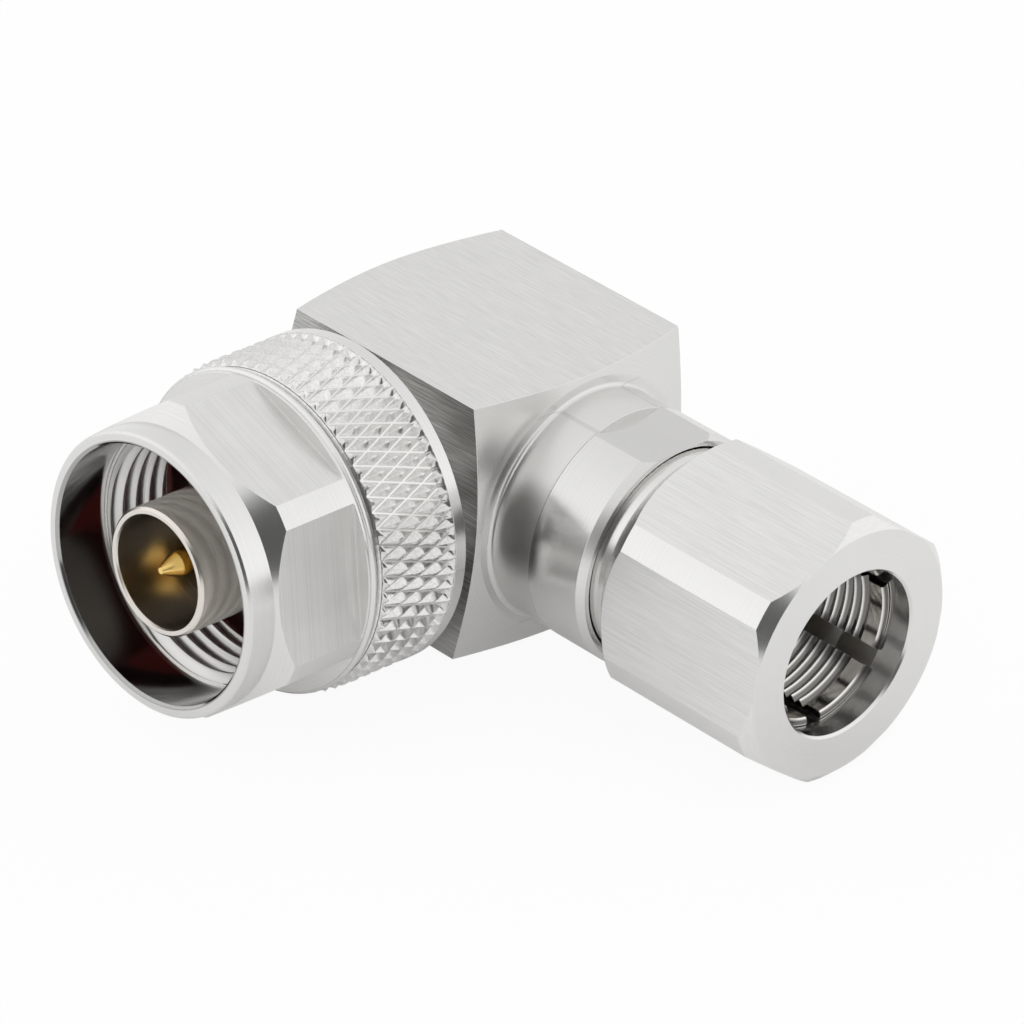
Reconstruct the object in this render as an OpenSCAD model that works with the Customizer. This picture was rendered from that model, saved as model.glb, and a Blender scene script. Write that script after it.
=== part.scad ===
// Right-angle coaxial plug, clamp type, for a 10.3 mm cable.
// The plug's axis runs along Y and mates towards -Y; the cable leaves along +X; +Z is the
// block's top. The origin is the centre of the outer contact's end, the mating plane.

/* [Elbow block] */
// Distance from the mating plane to the centre of the elbow
reach = 26.1; // [25.4:0.1:32]
// Side of the square bar
block_side = 17.2; // [16.8:0.1:20]
// Length of the block behind the centre of the elbow
block_back = 8.75; // [8:0.05:12]
// Length of the block from the centre of the elbow to the barrel's shoulder
block_front = 8.95; // [8.8:0.05:12]
// Slope of the two turned ends of the bar, in degrees
end_slope = 17; // [8:1:25]
// Diameter of the flat ring on each turned end
end_flat_d = 16.5; // [16:0.1:17.5]

/* [Cable barrel] */
// Diameter of the barrel's neck
neck_d = 15; // [14.8:0.05:15.1]
// Length of the neck
neck_len = 3.35; // [2.5:0.05:6]
// Fillet between the shoulder and the neck
neck_fillet = 0.3; // [0.1:0.05:0.4]
// Diameter of the land with the wrench flats
land_d = 15.15; // [15.1:0.05:16]
// Length of that land
land_len = 4.5; // [3.8:0.05:7]
// Size across the two wrench flats
wrench_af = 14.1; // [14:0.05:14.8]
// Length of the lead at the barrel's end
lead_len = 0.55; // [0.2:0.05:1]
// Depth of the lead at the barrel's end
lead_depth = 0.25; // [0.05:0.05:0.3]

/* [Plug contacts] */
// Outside diameter of the outer contact's sleeve
sleeve_d = 8.05; // [7.9:0.01:8.1]
// Wall of the sleeve
sleeve_wall = 0.475; // [0.35:0.025:0.6]
// Distance from the mating plane to the gasket's seat
seat_depth = 10.7; // [10:0.1:12]
// Diameter of the sleeve's root, inside the gasket
root_d = 8.6; // [8.4:0.1:9]
// Diameter of the outer contact's flange
flange_d = 12; // [11:0.1:12.6]
// Thickness of that flange
flange_t = 1.2; // [0.8:0.1:1.5]
// Diameter of the centre pin's tip
pin_d = 1.6; // [1.4:0.05:1.7]
// Distance from the mating plane back to the pin's point
pin_recess = 0.33; // [0.1:0.01:1]
// Length of the pin's point
point_len = 1.2; // [0.6:0.1:2]
// Diameter of the point's blunt end
point_d = 0.4; // [0.2:0.05:0.6]
// Distance from the mating plane to the pin's shoulder
shoulder_depth = 5.3; // [4:0.1:6]
// Diameter of the inner conductors behind the shoulder
conductor_d = 3.04; // [2.6:0.02:3.2]
// Diameter of the insulators in the plug and the elbow
bead_d = 9.9; // [9.4:0.1:10.2]

/* [Front body] */
// Diameter of the journal that the coupling nut turns on
journal_d = 14.4; // [14:0.05:14.6]
// Diameter of the spigot that is screwed into the block
spigot_d = 12.9; // [12.4:0.05:13.2]
// Depth of the spigot in the block
spigot_len = 4; // [3:0.1:4.2]
// Distance from the gasket's seat to the ring groove
groove_back = 2; // [1.6:0.1:2.4]

/* [Coupling nut] */
// How far the nut stands in front of the mating plane
nut_overhang = 0.6; // [0.2:0.1:1]
// Diameter of the nut's front collar
collar_d = 17.7; // [17.2:0.1:17.7]
// Length of that collar
collar_len = 1.9; // [1:0.1:3]
// Length of the cone behind the collar
cone_len = 1.1; // [0.5:0.1:1.5]
// Diameter over the hexagon's turned corners
nut_corner_d = 19.95; // [19.4:0.05:20.1]
// Diameter of the plain ring behind the hexagon
nut_d = 20.3; // [20.2:0.1:21]
// Size across the six flats
nut_af = 18; // [17.8:0.1:18.8]
// Length from the cone's front to the end of the flats
flats_len = 6.4; // [5:0.1:8]
// Direction that one flat faces, in degrees from +X towards +Z
flats_turn = 10; // [0:0.1:60]
// Width of the plain ring behind the flats
band_len = 0.5; // [0.4:0.05:1]
// Width of the groove in front of the knurl
relief_len = 0.55; // [0.4:0.05:1]
// Depth of that groove
relief_depth = 0.6; // [0.4:0.05:0.8]
// Diameter over the knurl
knurl_d = 20.8; // [20.5:0.1:22]
// Depth of the knurl
knurl_depth = 0.43; // [0.2:0.01:0.5]
// Number of knurl points around the nut
knurl_count = 64; // [48:1:80]
// Number of knurl rows along the nut
knurl_rows = 4; // [3:1:6]
// Angle of the knurl's grooves to the axis, in degrees
knurl_angle = 20; // [18:1:30]
// Turn of the knurl about the nut's axis, in degrees
knurl_turn = 0.7; // [0:0.1:5]
// How far the rear lip stands above the knurl, measured radially
lip_height = 0.02; // [0.02:0.01:0.3]
// Width of the rear lip
lip_len = 0.9; // [0.5:0.1:2]
// Diameter of the counterbore in the nut's mouth
mouth_d = 16.15; // [16:0.05:16.6]
// Depth of that counterbore
mouth_len = 3.8; // [2:0.1:5]
// Major diameter of the coupling thread
thread_d = 15.88; // [15.6:0.01:15.95]
// Depth of the relief behind the thread, measured radially
thread_relief = 0.15; // [0.05:0.05:0.3]
// Length of that relief
thread_relief_len = 3.1; // [1.5:0.1:3.5]

/* [Snap ring and gasket] */
// Width of the snap ring
ring_w = 1; // [0.6:0.1:1.4]
// Radial size of the snap ring
ring_h = 0.95; // [0.8:0.05:1.1]
// Opening of the snap ring, in degrees
ring_gap = 40; // [20:5:90]
// Depth of the snap ring's groove in the journal
ring_seat = 0.6; // [0.4:0.05:0.7]
// Thickness of the face gasket
gasket_t = 1.3; // [0.8:0.1:1.6]
// Outside diameter of the face gasket
gasket_d = 14.2; // [13:0.1:14.3]

/* [Rear cap] */
// Diameter of the screwed cap
cap_d = 12.4; // [11.8:0.1:13]
// Thickness of the cap's screwed disc
cap_t = 2.3; // [1.8:0.1:2.5]
// Length of the spigot that carries the cap's seal
cap_spigot_len = 2; // [1.6:0.1:2.2]
// Width of the cap's seal
cap_seal_w = 0.9; // [0.6:0.1:1.1]
// Radial size of the cap's seal
cap_seal_h = 0.6; // [0.5:0.05:0.65]
// Width of the screwdriver slot
cap_slot_w = 1.2; // [0.8:0.1:1.6]
// Depth of the screwdriver slot
cap_slot_depth = 1; // [0.6:0.1:1.4]

/* [Cable clamp] */
// Diameter over the cable's jacket
cable_d = 10.3; // [10:0.1:10.5]
// Diameter of the clamp nut's thread
clamp_thread_d = 13.6; // [13.4:0.05:13.8]
// Depth of the clamp nut's thread in the barrel
clamp_engage = 4.4; // [3.8:0.1:4.6]
// Length of the plain neck that shows between the barrel and the clamp nut
clamp_neck_len = 1; // [0.3:0.1:2]
// Length of the clamp nut's hexagon, with its two chamfers
clamp_hex_len = 13.45; // [12:0.05:18]
// Size across the clamp nut's flats
clamp_af = 15.85; // [15.6:0.05:17]
// Diameter over the clamp nut's turned corners
clamp_corner_d = 17.35; // [17:0.05:18]
// Turn of the clamp nut's flats about the cable, in degrees
clamp_turn = -4.4; // [-30:0.1:30]
// Depth of the clamp nut's outer chamfer
clamp_chamfer = 0.7; // [0.4:0.05:1]
// Thickness of the lip around the cable hole
clamp_lip = 0.95; // [0.6:0.05:1.5]
// Wall of the collet
collet_wall = 0.8; // [0.7:0.05:0.85]
// Pitch of the collet's gripping teeth
tooth_pitch = 0.65; // [0.5:0.05:1]
// Depth of the gripping teeth
tooth_depth = 0.35; // [0.2:0.05:0.4]
// Number of gripping teeth
tooth_count = 14; // [6:1:16]
// Number of slots in the collet
slot_count = 6; // [4:1:8]
// Width of each slot
slot_w = 1.15; // [0.6:0.05:1.4]
// Turn of the collet's slots about the cable, in degrees
slot_turn = -2; // [-30:1:30]
// Thickness of the pressure washer
washer_t = 0.8; // [0.5:0.1:1.2]
// Thickness of the jacket seal
seal_t = 1.5; // [1:0.1:1.6]
// Diameter of the braid cone's bore, over the cable's core
core_d = 7.5; // [7.3:0.1:7.8]
// Length of the braid cone's sleeve
cone_sleeve_len = 4.6; // [3:0.1:6]
// Diameter of the cable's inner conductor
wire_d = 2.36; // [1.8:0.02:2.5]

/* [Hidden] */
$fn = 96;
over = 1;            // how far a cutter runs past what it cuts
fit = 0.05;          // radial clearance of seated round pieces
turn_fit = 0.06;     // radial clearance of pieces that turn in each other
rest_gap = 0.05;     // clearance between faces that move apart
side_gap = 0.15;     // clearance on each side of the snap ring in the nut
edge = 0.15;         // small turned chamfer

half = block_side / 2;
corner_r = half * sqrt(2);
block_face = reach - half;               // the block's plug side, from the mating plane
bead_bore = bead_d + 2 * fit;
spigot_bottom = block_face + spigot_len + fit;
end_drop = (corner_r - end_flat_d / 2) * tan(end_slope);

// coupling nut, as distances from the mating plane
nut_front = -nut_overhang;
cone_front = nut_front + collar_len;
flats_end = cone_front + flats_len;
relief_front = flats_end + band_len;
knurl_front = relief_front + relief_len;
knurl_pitch = PI * knurl_d / knurl_count;
knurl_step = knurl_pitch / (2 * tan(knurl_angle));
knurl_len = knurl_rows * knurl_step;
knurl_end = knurl_front + knurl_len;
nut_end = knurl_end + lip_len;
knurl_core_d = knurl_d - 2 * knurl_depth - 0.6;
relief_d = nut_d - 2 * relief_depth;
lip_d = knurl_d + 2 * lip_height;
nut_bore_d = journal_d + 2 * turn_fit;
nut_step = seat_depth + 0.25;
relief_back = nut_step - thread_relief_len;

// snap ring
ring_front = seat_depth + groove_back;
ring_in_d = journal_d - 2 * ring_seat + 2 * fit;
ring_out_d = ring_in_d + 2 * ring_h;
ring_room_d = ring_out_d + 0.6;

// cable side, as distances from the centre of the elbow
barrel_step = block_front + neck_len;
barrel_end = barrel_step + land_len;
clamp_bore_d = clamp_thread_d + 2 * fit;
shank_end = barrel_end - clamp_engage;
washer_x = shank_end - rest_gap - washer_t;
seal_x = washer_x - seal_t;
cone_x = block_front - fit;
cone_flange_t = seal_x - cone_x;
hex_x = barrel_end + clamp_neck_len;
clamp_end = hex_x + clamp_hex_len;
hole_d = cable_d + 0.3;
grip_d = cable_d - 0.2;
collet_d = grip_d + 2 * collet_wall;
collet_room_d = collet_d + 2 * turn_fit;
collet_x = shank_end - rest_gap + 0.05;
collet_end = clamp_end - clamp_lip - 1;
collet_taper_len = 3.1;
collet_taper = 0.35;
slot_x = collet_x + 3.2;
teeth_end = collet_end - 0.45;
cable_bead_d = 8.3;
cable_bead_x = 5.6;
cable_bead_end = cone_x;
contact_x = 2;
contact_end = cone_x + cone_flange_t;

// rear cap, as distances behind the centre of the elbow
cap_face = half;
cap_disc_x = cap_face - cap_t;
cap_spigot_x = cap_disc_x - cap_spigot_len;
cap_spigot_d = bead_bore - 2 * turn_fit;
cap_seal_x = cap_spigot_x + (cap_spigot_len - cap_seal_w) / 2;
cap_seal_out = cap_spigot_d + 0.08;

nickel = [0.80, 0.79, 0.77];
bright_nickel = [0.72, 0.70, 0.67];
gold = [0.86, 0.67, 0.30];
brass = [0.78, 0.72, 0.60];
silicone = [0.45, 0.09, 0.07];
ptfe = [0.94, 0.93, 0.90];
black_rubber = [0.09, 0.09, 0.09];

// Lays out what is drawn around Z so that it points away from the mating plane, along +Y.
module along_plug() {
    rotate([-90, 0, 0]) children();
}

// Lays out what is drawn around Z so that it points along the cable, from the elbow's centre.
module along_cable() {
    translate([0, reach, 0]) rotate([0, 90, 0]) children();
}

// Lays out what is drawn around Z so that it points out of the block's rear face.
module along_rear() {
    translate([0, reach, 0]) rotate([-90, 0, 0]) children();
}

// A ring with a rectangular section, from a to b along Z.
module ring(d_in, d_out, a, b) {
    rotate_extrude() translate([d_in / 2, a]) square([(d_out - d_in) / 2, b - a]);
}

module rod(d, a, b) {
    translate([0, 0, a]) cylinder(d = d, h = b - a);
}

module hex_prism(af, a, b) {
    translate([0, 0, a]) cylinder(d = af / cos(30), h = b - a, $fn = 6);
}

// Square bar with both ends turned to a shallow cone.
module turned_block() {
    intersection() {
        translate([-block_back, block_face, -half])
            cube([block_back + block_front, block_side, block_side]);
        along_cable() rotate_extrude() polygon([
            [0, -block_back],
            [end_flat_d / 2, -block_back],
            [corner_r + over, -block_back + end_drop + over * tan(end_slope)],
            [corner_r + over, block_front - end_drop - over * tan(end_slope)],
            [end_flat_d / 2, block_front],
            [0, block_front]
        ]);
    }
}

// Neck and land of the cable barrel, with a fillet at the shoulder and a lead at the end.
module turned_barrel() {
    along_cable() rotate_extrude() {
        polygon([
            [0, 0],
            [neck_d / 2, 0],
            [neck_d / 2, barrel_step],
            [land_d / 2, barrel_step],
            [land_d / 2, barrel_end - lead_len],
            [land_d / 2 - lead_depth, barrel_end],
            [0, barrel_end]
        ]);
        translate([neck_d / 2, block_front]) difference() {
            square(neck_fillet);
            translate([neck_fillet, neck_fillet]) circle(r = neck_fillet);
        }
    }
}

// Body of the elbow: block and barrel in one piece, with its bores.
module elbow_body() color(nickel) difference() {
    union() {
        turned_block();
        turned_barrel();
    }
    for (side = [0, 1])
        translate([barrel_step, reach - land_d / 2, side * (wrench_af + land_d) - wrench_af / 2 - land_d])
            cube([land_len + over, land_d, land_d]);
    along_cable() {
        rod(clamp_bore_d, block_front - fit, barrel_end + over);
        translate([0, 0, barrel_end - edge])
            cylinder(d1 = clamp_bore_d, d2 = clamp_bore_d + 2 * (edge + over), h = edge + over);
        rod(cable_bead_d + 2 * fit, cable_bead_x, block_front);
        rod(cable_bead_d - 1.2, 0, cable_bead_x + over);
    }
    along_plug() {
        rod(spigot_d + 2 * fit, block_face - over, spigot_bottom);
        rod(bead_bore, block_face, reach + cap_disc_x + over);
    }
    along_rear() rod(cap_d + 2 * turn_fit, cap_disc_x - rest_gap, cap_face + over);
}

// Front body: journal for the nut, ring groove, seat of the outer contact, threaded spigot.
module front_body() color(nickel) along_plug() difference() {
    union() {
        rod(journal_d, seat_depth, block_face);
        rod(spigot_d, block_face - over, spigot_bottom - fit);
    }
    rod(bead_bore, seat_depth - over, spigot_bottom + over);
    rod(flange_d + 2 * fit, seat_depth - over, seat_depth + flange_t);
    ring(journal_d - 2 * ring_seat, journal_d + over, ring_front, ring_front + ring_w + 2 * fit);
}

// Outer contact: thin plain sleeve with a shoulder and a flange at its root.
module outer_contact() color(bright_nickel) along_plug() rotate_extrude() polygon([
    [sleeve_d / 2 - sleeve_wall, edge],
    [sleeve_d / 2 - sleeve_wall + edge / 2, 0],
    [sleeve_d / 2 - edge, 0],
    [sleeve_d / 2, edge],
    [sleeve_d / 2, seat_depth - gasket_t - rest_gap],
    [root_d / 2, seat_depth - gasket_t - rest_gap],
    [root_d / 2, seat_depth],
    [flange_d / 2, seat_depth],
    [flange_d / 2, seat_depth + flange_t],
    [sleeve_d / 2 - sleeve_wall, seat_depth + flange_t]
]);

// Outside radius of the knurl at place i around and row j along: points and valleys alternate.
function knurl_r(i, j) = knurl_d / 2 - ((i + j) % 2 == 0 ? 0 : knurl_depth);

// Knurled ring: four-sided points between two crossing sets of helical grooves. The rings of
// points are the rows of the knurl, from 0 to knurl_rows, and then the rear and front of the bore.
// The front is chamfered at 45 degrees, so the first row's crests stand back on that cone.
module knurled_ring() {
    around = 2 * knurl_count;
    ring_count = knurl_rows + 3;
    slope = knurl_depth / knurl_step;
    crest_back = knurl_depth / (1 + slope);
    bore_r = min(relief_d, knurl_core_d) / 2 - fit;
    function is_cut(i, j) = j == 0 && i % 2 == 0;
    function ring_r(i, j) = j > knurl_rows ? bore_r : knurl_r(i, j) - (is_cut(i, j) ? crest_back * slope : 0);
    function ring_z(i, j) = j > knurl_rows + 1 ? bore_r + knurl_depth - knurl_d / 2
        : min(j, knurl_rows) * knurl_step + (is_cut(i, j) ? crest_back : 0);
    function at(i, j) = (j % ring_count) * around + i % around;
    points = [for (j = [0 : ring_count - 1], i = [0 : around - 1])
        [ring_r(i, j) * cos(360 * i / around), ring_r(i, j) * sin(360 * i / around), ring_z(i, j)]];
    faces = [for (j = [0 : ring_count - 1], i = [0 : around - 1], near = [true, false])
        (i + j) % 2 == 0
            ? (near ? [at(i, j), at(i, j + 1), at(i + 1, j)]
                    : [at(i + 1, j), at(i, j + 1), at(i + 1, j + 1)])
            : (near ? [at(i, j), at(i, j + 1), at(i + 1, j + 1)]
                    : [at(i, j), at(i + 1, j + 1), at(i + 1, j)])];
    translate([0, 0, knurl_front]) rotate(knurl_turn) polyhedron(points, faces);
}

// Turned outline of the coupling nut, with a plain core where the knurl goes.
module nut_outline() {
    rotate_extrude() polygon([
        [0, nut_front],
        [collar_d / 2 - edge, nut_front],
        [collar_d / 2, nut_front + edge],
        [collar_d / 2, cone_front],
        [nut_corner_d / 2, cone_front + cone_len],
        [nut_corner_d / 2, flats_end + 1.5 * edge],
        [nut_d / 2, flats_end + 2 * edge],
        [nut_d / 2, relief_front],
        [relief_d / 2, relief_front],
        [relief_d / 2, knurl_front + fit],
        [knurl_core_d / 2, knurl_front + fit],
        [knurl_core_d / 2, knurl_end - fit],
        [lip_d / 2, knurl_end - fit],
        [lip_d / 2, nut_end - edge],
        [lip_d / 2 - edge, nut_end],
        [0, nut_end]
    ]);
}

// Coupling nut: six milled flats in front, knurled grip behind.
module coupling_nut() color(nickel) along_plug() difference() {
    union() {
        nut_outline();
        knurled_ring();
    }
    difference() {
        rod(nut_d + 2 * over, cone_front - collar_len / 2, flats_end);
        rotate(30 - flats_turn) hex_prism(nut_af, nut_front, flats_end + over);
    }
    rotate_extrude() polygon([
        [0, nut_front - over],
        [mouth_d / 2 + edge + over, nut_front - over],
        [mouth_d / 2, nut_front + edge],
        [mouth_d / 2, nut_front + mouth_len],
        [thread_d / 2, nut_front + mouth_len],
        [thread_d / 2, relief_back],
        [thread_d / 2 + thread_relief, relief_back],
        [thread_d / 2 + thread_relief, nut_step],
        [nut_bore_d / 2, nut_step],
        [nut_bore_d / 2, nut_end + over],
        [0, nut_end + over]
    ]);
    ring(nut_bore_d - over, ring_room_d,
         ring_front + fit - side_gap, ring_front + fit + ring_w + side_gap);
}

// Split ring that holds the nut on its journal.
module snap_ring() color(bright_nickel) along_plug() difference() {
    ring(ring_in_d, ring_out_d, ring_front + fit, ring_front + fit + ring_w);
    rotate(90 - ring_gap / 2) rotate_extrude(angle = ring_gap)
        translate([0, ring_front - over]) square([ring_out_d, ring_w + 2 * over]);
}

module face_gasket() color(silicone) along_plug()
    ring(root_d + 2 * fit, gasket_d, seat_depth - gasket_t, seat_depth);

// Centre pin: pointed tip, stepped stem, cross hole and solder slot at the elbow.
module centre_pin() color(gold) difference() {
    along_plug() rotate_extrude() polygon([
        [0, pin_recess],
        [point_d / 2, pin_recess],
        [pin_d / 2, pin_recess + point_len],
        [pin_d / 2, shoulder_depth],
        [conductor_d / 2 - edge, shoulder_depth],
        [conductor_d / 2, shoulder_depth + edge],
        [conductor_d / 2, reach + conductor_d / 2],
        [0, reach + conductor_d / 2]
    ]);
    along_cable() rod(pin_d, -conductor_d, conductor_d);
    translate([-conductor_d, reach, -pin_d / 4]) cube([2 * conductor_d, conductor_d, pin_d / 2]);
}

module front_bead() color(ptfe) along_plug()
    ring(conductor_d + 2 * fit, bead_d, seat_depth + flange_t, spigot_bottom - fit);

module elbow_bead() color(ptfe) along_plug()
    ring(conductor_d + 2 * fit, bead_d, spigot_bottom - fit, reach - conductor_d / 2 - 2 * fit);

// Contact on the cable's wire: a pin that crosses the elbow and a solder cup.
module cable_contact() color(gold) along_cable() difference() {
    union() {
        rod(pin_d - 2 * fit, -conductor_d / 2, contact_x + over);
        rod(conductor_d, contact_x, contact_end);
    }
    rod(wire_d, cable_bead_x, contact_end + over);
}

module cable_bead() color(ptfe) along_cable()
    ring(conductor_d + 2 * fit, cable_bead_d, cable_bead_x, cable_bead_end);

// Screwed cap over the solder joint, with a seal groove in its spigot.
module rear_cap() color(nickel) along_rear() difference() {
    union() {
        rod(cap_d, cap_disc_x, cap_face - edge);
        translate([0, 0, cap_face - edge]) cylinder(d1 = cap_d, d2 = cap_d - 2 * edge, h = edge);
        rod(cap_spigot_d, cap_spigot_x, cap_disc_x + over);
    }
    ring(cap_seal_out - 2 * cap_seal_h - 2 * fit, cap_spigot_d + over, cap_seal_x, cap_seal_x + cap_seal_w);
    translate([-cap_d / 2, -cap_slot_w / 2, cap_face - cap_slot_depth])
        cube([cap_d, cap_slot_w, cap_slot_depth + over]);
}

module cap_seal() color(black_rubber) along_rear()
    ring(cap_seal_out - 2 * cap_seal_h, cap_seal_out, cap_seal_x + fit, cap_seal_x + cap_seal_w - fit);

// Braid cone: a flange against the barrel's floor and a tapered sleeve under the braid.
module braid_cone() color(brass) along_cable() rotate_extrude() polygon([
    [core_d / 2, cone_x],
    [clamp_bore_d / 2 - fit, cone_x],
    [clamp_bore_d / 2 - fit, cone_x + cone_flange_t],
    [core_d / 2 + 0.85, cone_x + cone_flange_t],
    [core_d / 2 + 0.35, cone_x + cone_flange_t + cone_sleeve_len],
    [core_d / 2, cone_x + cone_flange_t + cone_sleeve_len]
]);

module jacket_seal() color(black_rubber) along_cable()
    ring(hole_d, clamp_bore_d - 2 * fit, seal_x, washer_x);

module pressure_washer() color(brass) along_cable()
    ring(hole_d + 0.1, clamp_bore_d - 2 * fit, washer_x, washer_x + washer_t);

// One gripping tooth's groove, seen along the axis.
module tooth_groove(x) {
    polygon([
        [grip_d / 2 - over, x - tooth_pitch / 2 - over * tooth_pitch / (2 * tooth_depth)],
        [grip_d / 2 + tooth_depth, x],
        [grip_d / 2 - over, x + tooth_pitch / 2 + over * tooth_pitch / (2 * tooth_depth)]
    ]);
}

// Collet: slotted sleeve with ring teeth in its bore, closed by the nut's taper.
module clamp_collet() color(brass) along_cable() difference() {
    rotate_extrude() difference() {
        polygon([
            [grip_d / 2, collet_x],
            [collet_d / 2, collet_x],
            [collet_d / 2, collet_end - collet_taper_len],
            [collet_d / 2 - collet_taper, collet_end],
            [grip_d / 2 + edge, collet_end],
            [grip_d / 2, collet_end - edge]
        ]);
        for (k = [0 : tooth_count - 1])
            intersection() {
                tooth_groove(teeth_end - tooth_pitch * (k + 1.5));
                translate([0, teeth_end - tooth_pitch * (k + 2)]) square([collet_d, tooth_pitch]);
            }
    }
    for (k = [0 : slot_count - 1])
        rotate(slot_turn + 360 * k / slot_count)
            translate([0, -slot_w / 2, slot_x]) cube([collet_d, slot_w, collet_end]);
}

// Clamp nut: threaded shank, plain neck, hexagon with turned corners and a cable hole.
module clamp_nut() color(nickel) along_cable() difference() {
    union() {
        rotate_extrude() polygon([
            [0, shank_end],
            [clamp_thread_d / 2 - edge, shank_end],
            [clamp_thread_d / 2, shank_end + edge],
            [clamp_thread_d / 2, hex_x + over],
            [0, hex_x + over]
        ]);
        intersection() {
            rotate(clamp_turn) hex_prism(clamp_af, hex_x, clamp_end);
            rotate_extrude() polygon([
                [0, hex_x],
                [clamp_thread_d / 2 + edge, hex_x],
                [clamp_corner_d / 2, hex_x + (clamp_corner_d - clamp_thread_d) / 2 - edge],
                [clamp_corner_d / 2, clamp_end - clamp_chamfer],
                [clamp_corner_d / 2 - clamp_chamfer, clamp_end],
                [0, clamp_end]
            ]);
        }
    }
    rotate_extrude() polygon([
        [0, shank_end - over],
        [collet_room_d / 2, shank_end - over],
        [collet_room_d / 2, collet_end - collet_taper_len],
        [collet_room_d / 2 - collet_taper, collet_end],
        [collet_room_d / 2 - collet_taper, clamp_end - clamp_lip],
        [hole_d / 2, clamp_end - clamp_lip],
        [hole_d / 2, clamp_end - edge],
        [hole_d / 2 + edge + over, clamp_end + over],
        [0, clamp_end + over]
    ]);
}

elbow_body();
front_body();
outer_contact();
coupling_nut();
snap_ring();
face_gasket();
centre_pin();
front_bead();
elbow_bead();
cable_contact();
cable_bead();
rear_cap();
cap_seal();
braid_cone();
jacket_seal();
pressure_washer();
clamp_collet();
clamp_nut();
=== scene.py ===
"""Right-angle coaxial plug: its finishes, coupling thread, fine knurl, floor, light and camera."""

import math

import bmesh
import bpy
from bpy.props import FloatProperty, FloatVectorProperty, PointerProperty
from bpy.types import Operator, Panel, PropertyGroup
from mathutils import Matrix, Vector


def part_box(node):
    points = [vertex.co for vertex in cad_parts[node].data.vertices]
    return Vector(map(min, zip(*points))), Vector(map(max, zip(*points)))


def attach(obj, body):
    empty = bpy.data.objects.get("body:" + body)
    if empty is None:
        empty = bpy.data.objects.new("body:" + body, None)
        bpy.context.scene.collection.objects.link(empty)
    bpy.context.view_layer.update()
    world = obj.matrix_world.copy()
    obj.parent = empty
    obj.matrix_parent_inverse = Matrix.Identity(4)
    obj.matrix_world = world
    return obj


bl_info = {
    "name": "Right-Angle Coaxial Plug",
    "version": (1, 0, 0),
    "blender": (4, 5, 0),
    "location": "3D View > Sidebar > Plug",
    "description": "Dresses a right-angle coaxial plug: finishes, thread, knurl, floor and light",
    "category": "Object",
}

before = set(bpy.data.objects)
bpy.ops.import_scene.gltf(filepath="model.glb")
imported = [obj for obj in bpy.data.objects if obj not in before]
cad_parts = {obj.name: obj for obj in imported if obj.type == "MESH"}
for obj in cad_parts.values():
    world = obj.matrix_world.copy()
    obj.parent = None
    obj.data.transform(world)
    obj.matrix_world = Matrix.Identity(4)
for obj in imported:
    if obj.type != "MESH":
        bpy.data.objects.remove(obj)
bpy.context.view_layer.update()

MM = 0.001

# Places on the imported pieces: along the plug's or the cable's axis, or as a radius about it.
# A pair gives where a band starts and ends.
PLUG_AXIS = Vector((0.0, 1.0, 0.0))
CABLE_AXIS = Vector((1.0, 0.0, 0.0))
BLOCK_LOW, BLOCK_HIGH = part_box("elbow_body")
NUT_LOW, NUT_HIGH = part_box("coupling_nut")
CLAMP_LOW, CLAMP_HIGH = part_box("clamp_nut")
ELBOW_CENTRE = Vector((0.0, (CLAMP_LOW.y + CLAMP_HIGH.y) / 2, 0.0))
BLOCK_FRONT = 8.95 * MM
NECK_END = 12.3 * MM
NECK_STEP = (NECK_END - 0.08 * MM, NECK_END + 0.01 * MM)
NECK_RADIUS = 7.46 * MM
WRENCH_FLAT = (7.0 * MM, 7.1 * MM)
CLAMP_FLAT = (7.85 * MM, 8.66 * MM)
CLAMP_CHAMFER = 1.0 * MM
TOOTH = (5.0 * MM, 5.45 * MM)
TOOTH_SIDE = (5.08 * MM, 5.2 * MM)
TOOTH_EDGE = 0.03 * MM

NUT_LIP = 0.9 * MM
KNURL_COUNT = 64
KNURL_ROWS = 4
KNURL_TURN = math.radians(0.7)
KNURL_RADIUS = 10.4 * MM
KNURL_STEP = math.pi * KNURL_RADIUS / KNURL_COUNT / math.tan(math.radians(20))
KNURL_END = NUT_HIGH.y - NUT_LIP
KNURL_FRONT = KNURL_END - KNURL_ROWS * KNURL_STEP
KNURL_SPAN = (KNURL_FRONT - 0.02 * MM, KNURL_END - 0.01 * MM)
KNURL_SHELL = 0.12 * MM
KNURL_INSIDE = 9.7 * MM
RUN_OUT_STEPS = 4
RUN_OUT_DROP = 0.06 * MM
NUT_RING_END = KNURL_FRONT - 0.55 * MM
NUT_RING_INSIDE = 9.9 * MM
NUT_FLATS_END = NUT_RING_END - 0.5 * MM
NUT_FLAT = (8.9 * MM, 9.96 * MM)
NUT_FLAT_SPAN = (1.5 * MM, 7.7 * MM)
NUT_RECESS = (9.0 * MM, 10.1 * MM)
NUT_MOUTH_END = 2.75 * MM
NUT_MOUTH_RADIUS = 8.3 * MM
THREAD_STEPS = 120
THREAD_SUNK = 0.05 * MM

# How squarely a face has to look along an axis to count as a side, and at most as a flat
SIDE_FACING = 0.9
FLAT_FACING = 0.3

# Lines and grain: how many to the metre, how deep, and how wide an edge is rounded
LATHE_LINES = 11000.0
MILLED_LINES = 9000.0
BRUSHED_LINES = 10000.0
SCRATCHES = 7000.0
PRESSED_GRAIN = 6000.0
PLASTIC_GRAIN = 3000.0
RUBBER_GRAIN = 4000.0
LINE_DEPTH = 0.004 * MM
GRAIN_DEPTH = 0.01 * MM
FINE_EDGE = 0.05 * MM
RING_EDGE = 0.16 * MM

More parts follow.
